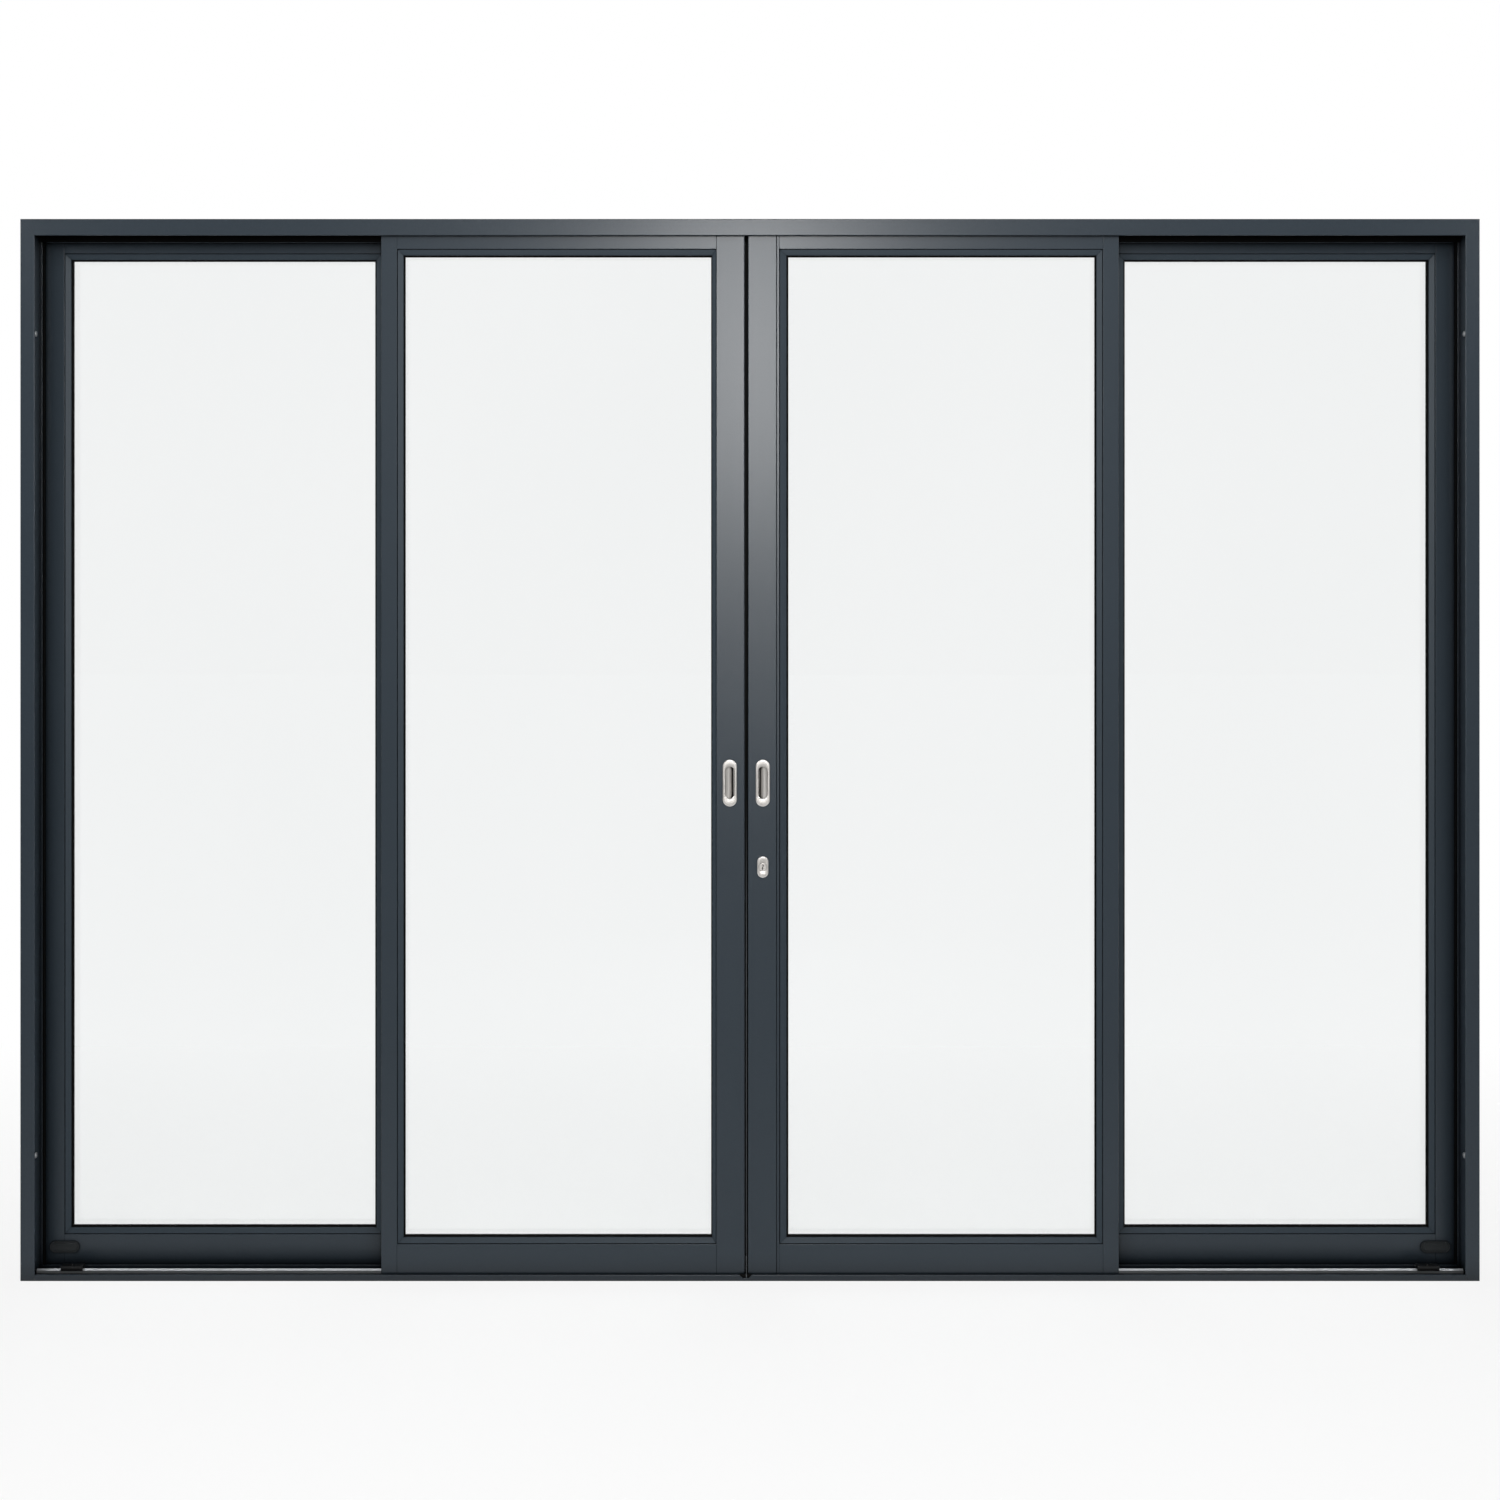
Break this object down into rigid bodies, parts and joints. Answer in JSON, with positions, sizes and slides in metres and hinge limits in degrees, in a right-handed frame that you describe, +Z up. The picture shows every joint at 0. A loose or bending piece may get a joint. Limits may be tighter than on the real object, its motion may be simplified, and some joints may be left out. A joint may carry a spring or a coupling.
{
  "type": "four-panel glass sliding patio door",
  "caption": "Double-glazed aluminium sliding patio door: sliding leaves meet at the centre between fixed side lights, with flush pulls and a key lock.",
  "frame": {"origin": "centre of the sill's underside, at mid width and mid depth of the frame", "axes": "+X to the right seen from the front, +Y from the front (sliding leaves) to the rear (side lights), +Z up"},
  "size_m": [3, 0.111, 2.183],
  "materials": {
    "frame_paint": "satin anthracite powder coat",
    "sash_paint": "satin anthracite powder coat",
    "rail_cap": "satin anodised",
    "satin_nickel": "satin nickel",
    "roller_steel": "zinc plated",
    "black_plastic": "matte black",
    "gasket": "matte black",
    "spacer": "matte black warm-edge bar",
    "glass": "clear float glass"
  },
  "bodies": {
    "frame": {"head_profile": "frame_paint", "sill_profile": "frame_paint", "left_jamb": "frame_paint", "right_jamb": "frame_paint", "running_rails": "rail_cap", "track_end_stops": "black_plastic", "drain_covers": "black_plastic", "fixed_light_packers": "black_plastic", "left_light_jamb_stile": "sash_paint", "left_light_interlock_stile": "sash_paint", "left_light_top_rail": "sash_paint", "left_light_bottom_rail": "sash_paint", "left_light_beads": "sash_paint", "left_light_glass": "glass", "right_light_jamb_stile": "sash_paint", "right_light_interlock_stile": "sash_paint", "right_light_top_rail": "sash_paint", "right_light_bottom_rail": "sash_paint", "right_light_beads": "sash_paint", "right_light_glass": "glass", "side_light_gaskets": "gasket", "side_light_spacers": "spacer"},
    "left_leaf": {"left_leaf_meeting_stile": "sash_paint", "left_leaf_interlock_stile": "sash_paint", "left_leaf_top_rail": "sash_paint", "left_leaf_bottom_rail": "sash_paint", "left_leaf_beads": "sash_paint", "left_leaf_glass": "glass", "left_leaf_gaskets": "gasket", "left_leaf_spacer": "spacer", "left_leaf_pulls": "satin_nickel", "left_leaf_rollers": "roller_steel", "meeting_seal": "gasket"},
    "right_leaf": {"right_leaf_meeting_stile": "sash_paint", "right_leaf_interlock_stile": "sash_paint", "right_leaf_top_rail": "sash_paint", "right_leaf_bottom_rail": "sash_paint", "right_leaf_beads": "sash_paint", "right_leaf_glass": "glass", "right_leaf_gaskets": "gasket", "right_leaf_spacer": "spacer", "right_leaf_pulls": "satin_nickel", "right_leaf_rollers": "roller_steel", "lock_escutcheons": "satin_nickel"},
    "lock_cylinder": {"lock_cylinder_plug": "satin_nickel"}
  },
  "joints": [
    {"name": "left_leaf_slide", "type": "slide", "parent": "frame", "child": "left_leaf", "axis": [-1, 0, 0], "range_m": [0, 0.614]},
    {"name": "right_leaf_slide", "type": "slide", "parent": "frame", "child": "right_leaf", "axis": [1, 0, 0], "range_m": [0, 0.614]},
    {"name": "lock_cylinder_turn", "type": "hinge", "parent": "right_leaf", "child": "lock_cylinder", "pos_m": [0.0264, -0.0475, 0.8495], "axis": [0, 1, 0], "continuous": true}
  ]
}
